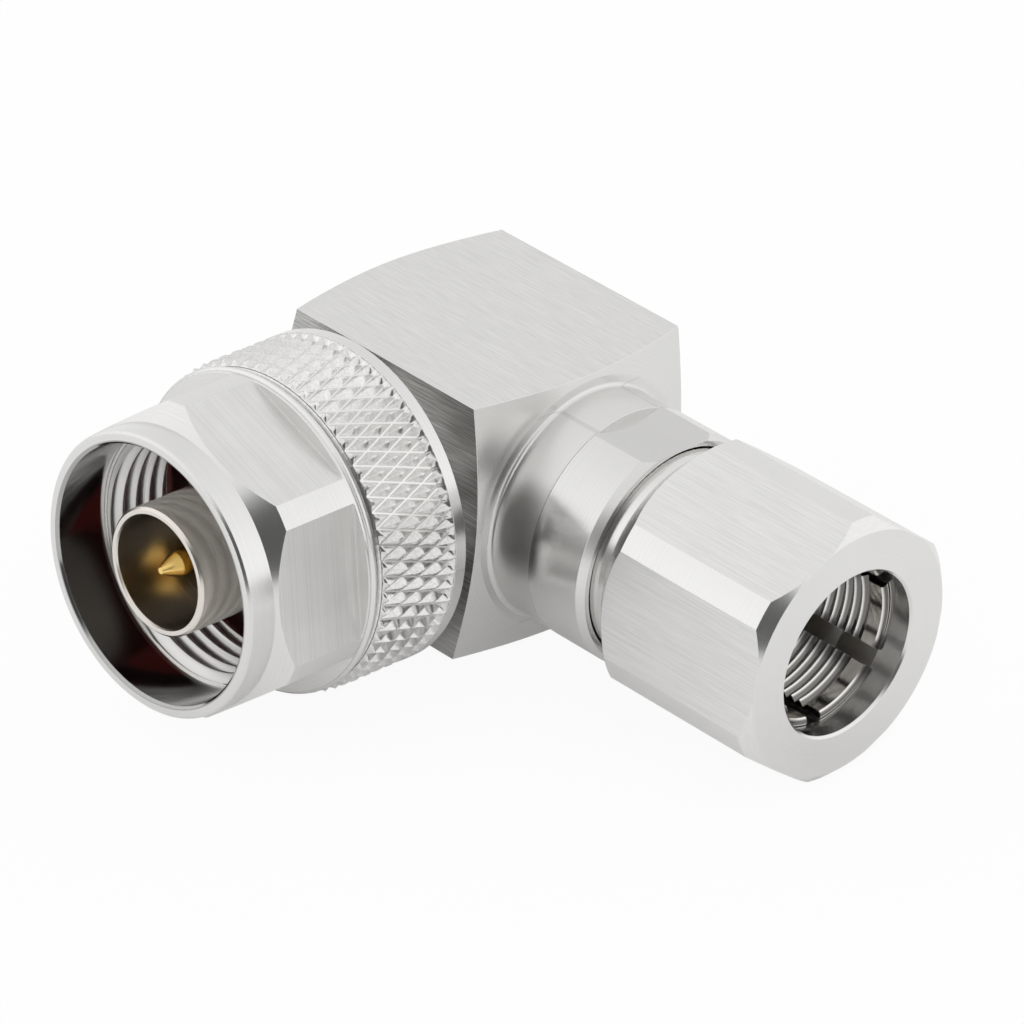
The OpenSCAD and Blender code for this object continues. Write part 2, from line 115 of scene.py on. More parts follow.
# Tint of painted edge highlights and of painted shade, and how much painted shade lies where
EDGE_HIGHLIGHT_TINT = 1.22
SHADE_TINT = 0.1
SHADE_AT_NECK_STEP = 0.6
SHADE_ON_WRENCH_FLAT = 0.13
SHADE_BEFORE_KNURL = 0.35
SHADE_IN_MOUTH = 0.45
SHADE_BETWEEN_TEETH = 0.85

FLOOR_RADIUS = 1.5
FLOOR_GAP = 0.02 * MM
FLOOR_COLOUR = (0.94, 0.94, 0.94, 1.0)
FLOOR_ROUGHNESS = 0.8
WHITE = (1.0, 1.0, 1.0, 1.0)


# ---------------------------------------------------------------------------------------------
# Settings
# ---------------------------------------------------------------------------------------------

def colour_property(name, description, default):
    return FloatVectorProperty(
        name=name, description=description, default=default, subtype="COLOR", min=0.0, max=1.0
    )


def roughness_property(part, default):
    return FloatProperty(
        name=f"Roughness, {part}",
        description=f"Roughness of the {part}",
        default=default,
        min=0.02,
        max=1.0,
    )


def length_property(name, description, default):
    return FloatProperty(
        name=name, description=description, default=default, unit="LENGTH", precision=6
    )


def angle_property(name, description, default):
    return FloatProperty(
        name=name, description=description, default=math.radians(default), unit="ROTATION"
    )


class PlugFinish(PropertyGroup):
    """Colours and roughness of the plug's finishes."""

    nickel: colour_property("Nickel", "Colour of the nickel plate", (0.76, 0.755, 0.74))
    bright: colour_property("Bright plate", "Colour of the outer contact", (0.80, 0.755, 0.70))
    gold: colour_property("Gold", "Colour of the gold-plated contacts", (0.93, 0.66, 0.23))
    brass: colour_property("Plated brass", "Colour of the collet and the rings", (0.84, 0.82, 0.78))
    silicone: colour_property("Silicone", "Colour of the face gasket", (0.20, 0.018, 0.012))
    rubber: colour_property("Rubber", "Colour of the seals", (0.018, 0.018, 0.018))
    insulator: colour_property("Insulator", "Colour of the plastic insulators", (0.86, 0.85, 0.82))
    turned_roughness: roughness_property("turned metal", 0.20)
    brushed_roughness: roughness_property("brushed flats", 0.34)
    neck_roughness: roughness_property("barrel's neck", 0.33)
    mouth_roughness: roughness_property("coupling's mouth", 0.12)
    thread_roughness: roughness_property("coupling thread", 0.32)
    contact_roughness: roughness_property("outer contact", 0.24)
    gold_roughness: roughness_property("gold-plated contacts", 0.16)
    collet_roughness: roughness_property("collet", 0.12)
    plastic_roughness: roughness_property("insulators", 0.45)
    silicone_roughness: roughness_property("face gasket", 0.42)
    rubber_roughness: roughness_property("rubber seals", 0.5)


class PlugThread(PropertyGroup):
    """Sizes of the coupling thread inside the nut."""

    pitch: length_property("Pitch", "Distance from turn to turn", 1.058 * MM)
    major: length_property("Major radius", "Radius at the roots", 7.93 * MM)
    minor: length_property("Minor radius", "Radius at the crests", 7.36 * MM)
    front: length_property("Front", "Where the thread starts", 3.2 * MM)
    rear: length_property("Rear", "Where the thread ends", 7.83 * MM)


class PlugKnurl(PropertyGroup):
    """Sizes of the knurl's points."""

    crest: length_property("Crest radius", "Radius at the blunt tops", 10.41 * MM)
    root: length_property("Root radius", "Radius at the groove bottoms", 10.02 * MM)
    run_out: length_property("Run-out", "Length of the slopes at both ends", 0.25 * MM)
    groove: FloatProperty(
        name="Groove", description="Half a groove's share of the pitch", default=0.055, min=0.01
    )
    top: FloatProperty(
        name="Top", description="Where the blunt top starts, as a share", default=0.42, max=0.49
    )


class PlugStage(PropertyGroup):
    """Place of the camera, and brightness of the floor and of the light tent."""

    azimuth: angle_property("Azimuth", "Camera's direction round the plug", 43.18)
    elevation: angle_property("Elevation", "Camera's height angle", 29.89)
    roll: angle_property("Roll", "Turn of the camera about its view", 5.05)
    distance: length_property("Distance", "From the camera to the elbow", 428.6 * MM)
    aim_right: length_property("Aim right", "Aim point, right of the elbow", 2.17 * MM)
    aim_up: length_property("Aim up", "Aim point, above the elbow", -4.32 * MM)
    lens: FloatProperty(
        name="Lens", description="Focal length in millimetres", default=247.8, min=10.0
    )
    floor_seen: FloatProperty(
        name="Floor seen", description="White added where the floor is seen directly", default=0.93
    )
    floor_mirrored: FloatProperty(
        name="Floor mirrored", description="White added where metal mirrors the floor", default=0.15
    )
    tent_middle: FloatProperty(
        name="Tent middle", description="Strength of the tent before and behind", default=0.88
    )
    tent_sides: FloatProperty(
        name="Tent sides", description="Strength that the tent gains at its sides", default=0.26
    )
    opening_dark: FloatProperty(
        name="Opening dark", description="Light the opening lacks, as a share", default=0.89
    )
    opening_rise: angle_property("Opening rise", "Height angle of the tent's opening", 12.0)
    opening_outer: angle_property("Opening's rim", "Angle at which the tent starts to darken", 40.0)
    opening_inner: angle_property("Opening's core", "Angle inside which it is darkest", 23.0)


# ---------------------------------------------------------------------------------------------
# Shader helpers
# ---------------------------------------------------------------------------------------------

def feed(tree, socket, value):
    """Puts a number, a vector or another node's output into a socket."""
    if isinstance(value, bpy.types.NodeSocket):
        tree.links.new(value, socket)
    else:
        socket.default_value = value


def maths(tree, operation, first, second=0.0, third=0.0, clamp=False):
    step = tree.nodes.new("ShaderNodeMath")
    step.operation = operation
    step.use_clamp = clamp
    for socket, value in zip(step.inputs, (first, second, third)):
        feed(tree, socket, value)
    return step.outputs[0]


def vector_maths(tree, operation, first, second=(0.0, 0.0, 0.0)):
    step = tree.nodes.new("ShaderNodeVectorMath")
    step.operation = operation
    feed(tree, step.inputs[0], first)
    feed(tree, step.inputs[1], second)
    return step.outputs["Value" if operation in {"DOT_PRODUCT", "LENGTH"} else "Vector"]


def blend_values(tree, share, first, second):
    """first where share is 0, second where it is 1."""
    step = tree.nodes.new("ShaderNodeMix")
    feed(tree, step.inputs["Factor"], share)
    feed(tree, step.inputs["A"], first)
    feed(tree, step.inputs["B"], second)
    return step.outputs["Result"]


def blend_colours(tree, share, first, second):
    step = tree.nodes.new("ShaderNodeMix")
    step.data_type = "RGBA"
    feed(tree, step.inputs["Factor"], share)
    colours = [socket for socket in step.inputs if socket.type == "RGBA"]
    for socket, value in zip(colours, (first, second)):
        feed(tree, socket, value if isinstance(value, bpy.types.NodeSocket) else (*value, 1.0))
    return next(socket for socket in step.outputs if socket.type == "RGBA")


def noise(tree, where, scale, detail=2.0, roughness=0.5, dimensions="3D"):
    step = tree.nodes.new("ShaderNodeTexNoise")
    step.noise_dimensions = dimensions
    feed(tree, step.inputs["W" if dimensions == "1D" else "Vector"], where)
    step.inputs["Scale"].default_value = scale
    step.inputs["Detail"].default_value = detail
    step.inputs["Roughness"].default_value = roughness
    return step.outputs[0]


def smooth_step(tree, value, low, high):
    """0 below low, 1 above high, smooth between."""
    step = tree.nodes.new("ShaderNodeMapRange")
    step.interpolation_type = "SMOOTHSTEP"
    feed(tree, step.inputs["Value"], value)
    step.inputs["From Min"].default_value = low
    step.inputs["From Max"].default_value = high
    return step.outputs["Result"]


def bump(tree, height, strength, distance, normal):
    step = tree.nodes.new("ShaderNodeBump")
    step.inputs["Strength"].default_value = strength
    step.inputs["Distance"].default_value = distance
    feed(tree, step.inputs["Height"], height)
    feed(tree, step.inputs["Normal"], normal)
    return step.outputs["Normal"]


def product(tree, first, *others):
    for other in others:
        first = maths(tree, "MULTIPLY", first, other)
    return first


def between(tree, value, low, high):
    """1 from low to high, and 0 elsewhere."""
    above = maths(tree, "GREATER_THAN", value, low)
    return product(tree, above, maths(tree, "LESS_THAN", value, high))


def faces_along(tree, axis):
    """1 on faces that look straight along an axis of the world, either way."""
    normal = tree.nodes.new("ShaderNodeNewGeometry").outputs["True Normal"]
    facing = vector_maths(tree, "DOT_PRODUCT", normal, tuple(axis))
    return maths(tree, "GREATER_THAN", maths(tree, "ABSOLUTE", facing), SIDE_FACING)


def soft_edges(tree, radius):
    """The normal, rounded over the edges."""
    step = tree.nodes.new("ShaderNodeBevel")
    step.samples = 6
    feed(tree, step.inputs["Radius"], radius)
    return step.outputs["Normal"]


def new_material(name):
    """An empty material: its tree, its main shader and its object coordinates."""
    material = bpy.data.materials.new(name)
    material.use_nodes = True
    tree = material.node_tree
    shader = tree.nodes["Principled BSDF"]
    place = tree.nodes.new("ShaderNodeTexCoord").outputs["Object"]
    return material, tree, shader, place


# ---------------------------------------------------------------------------------------------
# Finishes
# ---------------------------------------------------------------------------------------------

def lathe_place(tree, place, axis, centre):
    """Distance along an axis, distance from it, and how squarely a face looks along it."""
    from_centre = vector_maths(tree, "SUBTRACT", place, tuple(centre))
    along = vector_maths(tree, "DOT_PRODUCT", from_centre, tuple(axis))
    across = vector_maths(tree, "MULTIPLY", from_centre, tuple(Vector((1.0, 1.0, 1.0)) - axis))
    flat = tree.nodes.new("ShaderNodeNewGeometry").outputs["True Normal"]
    local = tree.nodes.new("ShaderNodeVectorTransform")
    local.vector_type = "NORMAL"
    local.convert_from = "WORLD"
    local.convert_to = "OBJECT"
    feed(tree, local.inputs["Vector"], flat)
    squarely = vector_maths(tree, "DOT_PRODUCT", local.outputs["Vector"], tuple(axis))
    return along, vector_maths(tree, "LENGTH", across), maths(tree, "ABSOLUTE", squarely)


def turned_lines(tree, along, radius, squarely, place):
    """Fine rings left by the lathe, which fade in and out a little round the piece."""
    ring_place = blend_values(tree, squarely, along, radius)
    fine = noise(tree, ring_place, LATHE_LINES, 3.0, 0.6, "1D")
    drift = noise(tree, place, 260.0, 2.0, 0.5)
    return blend_values(tree, 0.3, fine, drift)


def brushed_lines(tree, place, direction, length=1.0, depth=0.3):
    """Fine straight grain along one direction, with a few long bright scratches in it."""
    def grain(across, along, detail):
        longways = Vector(map(abs, direction)) * (across - along / length)
        squeeze = tuple(Vector((across, across, across)) - longways)
        return noise(tree, vector_maths(tree, "MULTIPLY", place, squeeze), 1.0, detail, 0.6)

    fine = grain(BRUSHED_LINES, 420.0, 3.0)
    scratches = smooth_step(tree, grain(SCRATCHES, 150.0, 1.0), 0.6, 0.76)
    return maths(tree, "MULTIPLY_ADD", scratches, depth, fine)


def milled_lines(tree, along, place):
    """Straight lines across a flat, as a milling cutter leaves them."""
    fine = noise(tree, along, MILLED_LINES, 3.0, 0.65, "1D")
    broad = noise(tree, along, 1400.0, 1.0, 0.5, "1D")
    drift = noise(tree, place, 420.0, 2.0, 0.5)
    return blend_values(tree, 0.25, blend_values(tree, 0.3, fine, broad), drift)


def tint(colour, factor):
    return tuple(min(1.0, channel * factor) for channel in colour)


def finish_metal(tree, shader, colour, lines, roughness, spread, relief, edge=FINE_EDGE, painted_shade=None):
    """Plated metal: lines in its colour, gloss and relief, painted highlights on edges, painted
    shade in recesses.
    """
    contrast = smooth_step(tree, lines, 0.3, 0.7)
    shade = blend_colours(tree, contrast, tint(colour, 1.0 - spread), tint(colour, 1.0 + spread))
    rounded = soft_edges(tree, edge)
    flat = tree.nodes.new("ShaderNodeNewGeometry").outputs["True Normal"]
    # Painted highlight: the colour is lightened along edges, where the rounded normal bends away
    # from the flat one.
    bent = maths(tree, "SUBTRACT", 1.0, vector_maths(tree, "DOT_PRODUCT", rounded, flat))
    edge_highlight = product(tree, smooth_step(tree, bent, 0.02, 0.2), 0.6)
    shade = blend_colours(tree, edge_highlight, shade, tint(colour, EDGE_HIGHLIGHT_TINT))
    # Painted shade: the colour is darkened where the mask is set.
    if painted_shade is not None:
        shade = blend_colours(tree, painted_shade, shade, tint(colour, SHADE_TINT))
    feed(tree, shader.inputs["Base Color"], shade)
    shader.inputs["Metallic"].default_value = 1.0
    low, high = product(tree, roughness, 1.15), product(tree, roughness, 0.85)
    feed(tree, shader.inputs["Roughness"], blend_values(tree, contrast, low, high))
    feed(tree, shader.inputs["Normal"], bump(tree, lines, relief, LINE_DEPTH, rounded))


def grain_direction(tree, shader, axis, anisotropy, straight=None):
    """Grain that runs round the axis, or straight along it where straight is 1."""
    tangent = tree.nodes.new("ShaderNodeTangent")
    tangent.direction_type = "RADIAL"
    tangent.axis = "X" if axis == CABLE_AXIS else "Y"
    way = tangent.outputs["Tangent"]
    if straight is not None:
        local = tree.nodes.new("ShaderNodeVectorTransform")
        local.vector_type = "VECTOR"
        local.convert_from = "OBJECT"
        local.convert_to = "WORLD"
        feed(tree, local.inputs["Vector"], tuple(axis))
        mix = tree.nodes.new("ShaderNodeMix")
        mix.data_type = "VECTOR"
        feed(tree, mix.inputs["Factor"], straight)
        vectors = [socket for socket in mix.inputs if socket.type == "VECTOR"]
        feed(tree, vectors[-2], way)
        feed(tree, vectors[-1], local.outputs["Vector"])
        way = next(socket for socket in mix.outputs if socket.type == "VECTOR")
    feed(tree, shader.inputs["Tangent"], way)
    shader.inputs["Anisotropic"].default_value = anisotropy


def turned_metal(name, colour, roughness, axis, centre, relief=0.2):
    """Metal turned on a lathe about an axis through a centre."""
    material, tree, shader, place = new_material(name)
    along, radius, squarely = lathe_place(tree, place, axis, centre)
    lines = turned_lines(tree, along, radius, squarely, place)
    finish_metal(tree, shader, colour, lines, roughness, 0.04, relief)
    grain_direction(tree, shader, axis, 0.35)
    return material


def block_metal(finish):
    """Bar stock brushed along its length, with smooth turned ends and a turned barrel."""
    material, tree, shader, place = new_material("brushed_block")
    along, radius, squarely = lathe_place(tree, place, CABLE_AXIS, ELBOW_CENTRE)
    turned = turned_lines(tree, along, radius, squarely, place)
    on_side = faces_along(tree, PLUG_AXIS)
    finer = vector_maths(tree, "MULTIPLY", place, (1.6, 1.6, 1.6))
    sawn = maths(tree, "MULTIPLY_ADD", brushed_lines(tree, finer, CABLE_AXIS, 1.6, 0.5), 2.0, -0.5)
    brushed = blend_values(tree, on_side, brushed_lines(tree, place, CABLE_AXIS), sawn)
    on_end = smooth_step(tree, squarely, 0.15, 0.2)
    on_barrel = smooth_step(tree, along, BLOCK_FRONT - 0.02 * MM, BLOCK_FRONT)
    is_turned = maths(tree, "MAXIMUM", on_end, on_barrel)
    is_bar = maths(tree, "SUBTRACT", 1.0, is_turned)
    lines = blend_values(tree, is_turned, brushed, blend_values(tree, 0.55, turned, 0.5))
    roughness = blend_values(tree, is_turned, finish.brushed_roughness, finish.turned_roughness)
    on_neck = between(tree, along, BLOCK_FRONT, NECK_END)
    roughness = blend_values(tree, on_neck, roughness, finish.neck_roughness)
    parts = tree.nodes.new("ShaderNodeSeparateXYZ")
    feed(tree, parts.inputs[0], place)
    height = maths(tree, "ABSOLUTE", parts.outputs["Z"])
    # Painted shade: a dark line round the step at the neck's end, left off at the wrench flats.
    step = product(
        tree,
        between(tree, along, *NECK_STEP),
        maths(tree, "GREATER_THAN", radius, NECK_RADIUS),
        maths(tree, "LESS_THAN", height, WRENCH_FLAT[0]),
        SHADE_AT_NECK_STEP,
    )
    # Painted shade: the bar's faces along the plug axis are darkened in streaks that follow their
    # sawn grain, for the floor's shadow they mirror.
    streaky_shade = maths(tree, "MULTIPLY_ADD", sawn, -0.7, 0.72, clamp=True)
    side_shade = product(tree, on_side, is_bar, streaky_shade)
    # Painted shade: the wrench flats on the barrel are darkened.
    flat_shade = between(tree, height, *WRENCH_FLAT)
    flat_shade = product(tree, flat_shade, on_barrel, SHADE_ON_WRENCH_FLAT)
    painted_shade = maths(tree, "MAXIMUM", step, maths(tree, "MAXIMUM", side_shade, flat_shade))
    finish_metal(tree, shader, finish.nickel, lines, roughness, 0.06, 0.6, painted_shade=painted_shade)
    grain_direction(tree, shader, CABLE_AXIS, 0.5, is_bar)
    return material


def knurl_grooves(tree, place, along):
    """1 along the bottoms of the knurl's two crossing sets of grooves."""
    parts = tree.nodes.new("ShaderNodeSeparateXYZ")
    feed(tree, parts.inputs[0], place)
    angle = maths(tree, "ARCTAN2", product(tree, parts.outputs["Z"], -1.0), parts.outputs["X"])
    share = KNURL_COUNT / math.pi
    around = maths(tree, "MULTIPLY_ADD", angle, share, -KNURL_TURN * share)
    row = product(tree, maths(tree, "SUBTRACT", along, KNURL_FRONT), 1.0 / KNURL_STEP)
    first = maths(tree, "PINGPONG", maths(tree, "ADD", around, row), 1.0)
    second = maths(tree, "PINGPONG", maths(tree, "SUBTRACT", around, row), 1.0)
    return smooth_step(tree, maths(tree, "MAXIMUM", first, second), 0.84, 0.92)


def coupling_metal(finish):
    """Turned nut with six milled flats, a knurled grip with painted highlights in its grooves, and
    painted shade in the groove before it and in its mouth.
    """
    material, tree, shader, place = new_material("coupling_nickel")
    along, radius, squarely = lathe_place(tree, place, PLUG_AXIS, Vector())
    turned = turned_lines(tree, along, radius, squarely, place)
    milled = milled_lines(tree, along, place)
    sideways = maths(tree, "LESS_THAN", squarely, FLAT_FACING)
    on_flat = product(
        tree, between(tree, radius, *NUT_FLAT), sideways, between(tree, along, *NUT_FLAT_SPAN)
    )
    on_knurl = between(tree, along, KNURL_FRONT - 0.3 * MM, KNURL_END)
    on_knurl = product(tree, on_knurl, maths(tree, "GREATER_THAN", radius, KNURL_INSIDE))
    # Painted highlight: the knurl's groove bottoms are set lighter and glossier, for the bright
    # lines they mirror.
    groove_highlight = product(tree, knurl_grooves(tree, place, along), on_knurl)
    pressed_grain_and_highlight = blend_values(tree, groove_highlight, noise(tree, place, PRESSED_GRAIN, 3.0, 0.6), 1.0)
    lines = blend_values(tree, on_flat, blend_values(tree, 0.6, turned, 0.55), milled)
    lines = blend_values(tree, on_knurl, lines, pressed_grain_and_highlight)
    in_mouth = maths(tree, "LESS_THAN", along, NUT_MOUTH_END)
    in_mouth = product(tree, in_mouth, maths(tree, "LESS_THAN", radius, NUT_MOUTH_RADIUS))
    roughness = blend_values(tree, on_flat, finish.turned_roughness, finish.brushed_roughness)
    roughness = blend_values(tree, in_mouth, roughness, finish.mouth_roughness)
    # Painted shade in the recessed groove between the ring and the knurl.
    recess_shade = between(tree, along, NUT_RING_END, KNURL_FRONT - 0.1 * MM)
    recess_shade = product(tree, recess_shade, between(tree, radius, *NUT_RECESS), SHADE_BEFORE_KNURL)
    on_ring = between(tree, along, NUT_FLATS_END, NUT_RING_END)
    on_ring = product(tree, on_ring, maths(tree, "GREATER_THAN", radius, NUT_RING_INSIDE))
    edge = blend_values(tree, on_ring, FINE_EDGE, RING_EDGE)
    # Painted shade inside the nut's mouth, together with that before the knurl.
    painted_shade = maths(tree, "MAXIMUM", recess_shade, product(tree, in_mouth, SHADE_IN_MOUTH))
    finish_metal(tree, shader, finish.nickel, lines, roughness, 0.08, 0.4, edge, painted_shade)
    grain_direction(tree, shader, PLUG_AXIS, 0.3)
    return material


def clamp_metal(finish):
    """Turned nut with six flats that are brushed along it, and a smooth end face."""
    material, tree, shader, place = new_material("clamp_nickel")
    along, radius, squarely = lathe_place(tree, place, CABLE_AXIS, ELBOW_CENTRE)
    turned = blend_values(tree, 0.6, turned_lines(tree, along, radius, squarely, place), 0.5)
    brushed = brushed_lines(tree, place, CABLE_AXIS, 1.6, 0.15)
    sideways = maths(tree, "LESS_THAN", squarely, FLAT_FACING)
    on_flat = product(tree, between(tree, radius, *CLAMP_FLAT), sideways)
    lines = blend_values(tree, on_flat, turned, brushed)
    roughness = blend_values(tree, on_flat, finish.turned_roughness, finish.brushed_roughness)
    # Painted light: this nut's nickel is tinted 5 % lighter than the rest.
    finish_metal(tree, shader, tint(finish.nickel, 1.05), lines, roughness, 0.05, 0.45)
    grain_direction(tree, shader, CABLE_AXIS, 0.4, on_flat)
    return material


def collet_metal(finish):
    """Plated collet with bright tooth crests and painted shade in its roots."""
    material, tree, shader, place = new_material("collet_plate")
    along, radius, squarely = lathe_place(tree, place, CABLE_AXIS, ELBOW_CENTRE)
    lines = turned_lines(tree, along, radius, squarely, place)
    # Painted shade: the collet's tooth roots darken with depth.
    depth = smooth_step(tree, radius, *TOOTH_SIDE)
    painted_shade = product(tree, between(tree, radius, *TOOTH), depth, SHADE_BETWEEN_TEETH)
    roughness = finish.collet_roughness
    finish_metal(tree, shader, finish.brass, lines, roughness, 0.04, 0.2, TOOTH_EDGE, painted_shade)
    grain_direction(tree, shader, CABLE_AXIS, 0.2)
    return material


def soft_material(name, colour, roughness, grain):
    """Rubber or plastic with a fine even grain."""
    material, tree, shader, place = new_material(name)
    speckle = noise(tree, place, grain, 3.0, 0.6)
    shade = blend_colours(tree, speckle, tint(colour, 0.85), tint(colour, 1.0))
    gloss = blend_values(tree, speckle, roughness * 1.1, roughness * 0.9)
    feed(tree, shader.inputs["Base Color"], shade)
    feed(tree, shader.inputs["Roughness"], gloss)
    normal = bump(tree, speckle, 0.2, GRAIN_DEPTH, soft_edges(tree, FINE_EDGE))
    feed(tree, shader.inputs["Normal"], normal)
    return material


def dress(node, material):
    """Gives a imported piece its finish."""
    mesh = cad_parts[node].data
    mesh.materials.clear()
    mesh.materials.append(material)


# ---------------------------------------------------------------------------------------------
# Coupling thread and knurl
# ---------------------------------------------------------------------------------------------

def cut_across(mesh, place, out=1.0, drop=False):
    """Cuts a mesh across the plug's axis, and drops what lies beyond the cut if asked to."""
    return bmesh.ops.bisect_plane(
        mesh,
        geom=mesh.verts[:] + mesh.edges[:] + mesh.faces[:],
        plane_co=(0.0, place, 0.0),
        plane_no=(0.0, out, 0.0),
        clear_outer=drop,
    )


def thread_section(thread):
    """Ridge of the inside thread as (distance along the axis, radius), from foot to foot.

    The half section gives shares of the pitch from its middle, and shares of its depth.
    """
    depth = thread.major - thread.minor
    sunk = (0.44, -THREAD_SUNK / depth)
    half = (sunk, (0.44, 0.0), (0.42, 0.1), (0.094, 0.9), (0.054, 0.98), (0.02, 1.0))
    front = [(-share * thread.pitch, thread.major - height * depth) for share, height in half]
    rear = [(-along, radius) for along, radius in reversed(front)]
    return front + rear


def coupling_thread_mesh(thread):
    """Helical ridge, cut square at the counterbore and at the relief."""
    section = thread_section(thread)
    start = thread.front - thread.pitch
    turns = (thread.rear - thread.front) / thread.pitch + 2.0
    steps = round(turns * THREAD_STEPS)
    mesh = bmesh.new()
    rings = []
    for step in range(steps + 1):
        angle = math.tau * step / THREAD_STEPS
        middle = start + thread.pitch * step / THREAD_STEPS
        rings.append([
            mesh.verts.new((radius * math.sin(angle), middle + offset, radius * math.cos(angle)))
            for offset, radius in section
        ])
    count = len(section)
    for near, far in zip(rings, rings[1:]):
        for i in range(count):
            j = (i + 1) % count
            mesh.faces.new((near[i], near[j], far[j], far[i]))
    mesh.faces.new(rings[0])
    mesh.faces.new(reversed(rings[-1]))
    for place, out in ((thread.front, -1.0), (thread.rear, 1.0)):
        cut = cut_across(mesh, place, out, drop=True)["geom_cut"]
        edges = [item for item in cut if isinstance(item, bmesh.types.BMEdge)]
        bmesh.ops.triangle_fill(mesh, edges=edges, use_beauty=True)
    bmesh.ops.recalc_face_normals(mesh, faces=mesh.faces[:])
    return mesh


def knurl_height(place, knurl):
    """Height of the knurl from 0 in a groove to 1 on top of a point, across one set of grooves."""
    from_groove = min(place % 1.0, 1.0 - place % 1.0)
    return min(1.0, max(0.0, (from_groove - knurl.groove) / (knurl.top - knurl.groove)))


def knurl_points(knurl):
    """Open sheet of blunt four-sided points between two crossing sets of flat-bottomed grooves."""
    stops = (0.0, knurl.groove, knurl.top, 1.0 - knurl.top, 1.0 - knurl.groove)
    around = KNURL_COUNT * len(stops)

    def share(index):
        return index // len(stops) + stops[index % len(stops)]

    mesh = bmesh.new()
    points = {}

    def point(i, j):
        """Where groove line i of one set meets line j of the other."""
        key = (i % around, j - i)
        if key not in points:
            first, second = share(i % around), share(j - i + i % around)
            height = min(knurl_height(first, knurl), knurl_height(second, knurl))
            radius = knurl.root + (knurl.crest - knurl.root) * height
            angle = (first + second + 1.0) * math.pi / KNURL_COUNT + KNURL_TURN
            along = KNURL_FRONT + (first - second) * KNURL_STEP
            vert = mesh.verts.new((radius * math.cos(angle), along, -radius * math.sin(angle)))
            points[key] = (vert, height)
        return points[key]

    for i in range(around):
        for j in range(i - (KNURL_ROWS + 1) * len(stops), i + len(stops)):
            corners = [point(i, j), point(i + 1, j), point(i + 1, j + 1), point(i, j + 1)]
            high = [k for k, corner in enumerate(corners) if corner[1] > 0.5]
            verts = [corner[0] for corner in corners]
            if len(high) == 1:
                verts = verts[high[0]:] + verts[:high[0]]
                mesh.faces.new(verts[:3])
                mesh.faces.new([verts[0], verts[2], verts[3]])
            else:
                mesh.faces.new(verts)
    return mesh


def set_radius(vert, radius):
    scale = radius / math.hypot(vert.co.x, vert.co.z)
    vert.co.x *= scale
    vert.co.z *= scale


def knurl_mesh(knurl):
    """The knurl's points with sloping ends, closed inwards to a ring."""
    mesh = knurl_points(knurl)
    front, rear = KNURL_SPAN
    steps = [knurl.run_out * k / RUN_OUT_STEPS for k in range(1, RUN_OUT_STEPS + 1)]
    for place in [front + step for step in steps] + [rear - step for step in steps]:
        cut_across(mesh, place)
    cut_across(mesh, front, -1.0, drop=True)
    cut_across(mesh, rear, 1.0, drop=True)
    rise = knurl.crest - knurl.root
    for vert in mesh.verts:
        most = knurl.root + rise * (vert.co.y - front) / knurl.run_out
        least = knurl.root + rise * (1.0 - (rear - vert.co.y) / knurl.run_out)
        radius = math.hypot(vert.co.x, vert.co.z)
        set_radius(vert, max(min(radius, most), min(least, knurl.crest - RUN_OUT_DROP)))
    rims = [edge for edge in mesh.edges if edge.is_boundary]
    for item in bmesh.ops.extrude_edge_only(mesh, edges=rims)["geom"]:
        if isinstance(item, bmesh.types.BMVert):
            set_radius(item, knurl.root - KNURL_SHELL)
    bmesh.ops.bridge_loops(mesh, edges=[edge for edge in mesh.edges if edge.is_boundary])
    bmesh.ops.recalc_face_normals(mesh, faces=mesh.faces[:])
    return mesh


def add_piece(name, mesh, material, body, sharp=math.radians(35)):
    """Makes an object of a bmesh and lets it ride on its body."""
    data = bpy.data.meshes.new(name)
    mesh.to_mesh(data)
    mesh.free()
    data.materials.append(material)
    data.shade_smooth()
    data.set_sharp_from_angle(angle=sharp)
    piece = bpy.data.objects.new(name, data)
    bpy.context.scene.collection.objects.link(piece)
    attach(piece, body)
    return piece


# ---------------------------------------------------------------------------------------------
# Operators
# ---------------------------------------------------------------------------------------------

class PLUG_OT_body(Operator):
    """Finishes the elbow block, the front body and the rear cap"""

    bl_idname = "plug.body"
    bl_label = "Body"

    def execute(self, context):
        finish = context.scene.plug_finish
        dress("elbow_body", block_metal(finish))
        roughness = finish.turned_roughness
        plain = turned_metal("turned_body", finish.nickel, roughness, PLUG_AXIS, Vector())
        for node in ("front_body", "rear_cap", "snap_ring"):
            dress(node, plain)
        return {"FINISHED"}


class PLUG_OT_coupling(Operator):
    """Finishes the coupling nut and adds its knurl and its thread"""

    bl_idname = "plug.coupling"
    bl_label = "Coupling nut"

    def execute(self, context):
        finish = context.scene.plug_finish
        metal = coupling_metal(finish)
        dress("coupling_nut", metal)
        mesh = knurl_mesh(context.scene.plug_knurl)
        add_piece("coupling_knurl", mesh, metal, "coupling")
        roughness = finish.thread_roughness
        metal = turned_metal("thread_nickel", finish.nickel, roughness, PLUG_AXIS, Vector(), 0.5)
        mesh = coupling_thread_mesh(context.scene.plug_thread)
        add_piece("coupling_thread", mesh, metal, "coupling")
        return {"FINISHED"}


class PLUG_OT_contacts(Operator):
    """Finishes the outer contact, the pin, the cable contact and the insulators"""

    bl_idname = "plug.contacts"
    bl_label = "Contacts"

    def execute(self, context):
        finish = context.scene.plug_finish
        roughness = finish.contact_roughness
        bright = turned_metal("bright_contact", finish.bright, roughness, PLUG_AXIS, Vector(), 0.35)
        dress("outer_contact", bright)
        gold = turned_metal("gold_plate", finish.gold, finish.gold_roughness, PLUG_AXIS, Vector())
        for node in ("centre_pin", "cable_contact"):
            dress(node, gold)
        roughness = finish.plastic_roughness
        plastic = soft_material("insulator", finish.insulator, roughness, PLASTIC_GRAIN)
        for node in ("front_bead", "elbow_bead", "cable_bead"):
            dress(node, plastic)
        return {"FINISHED"}


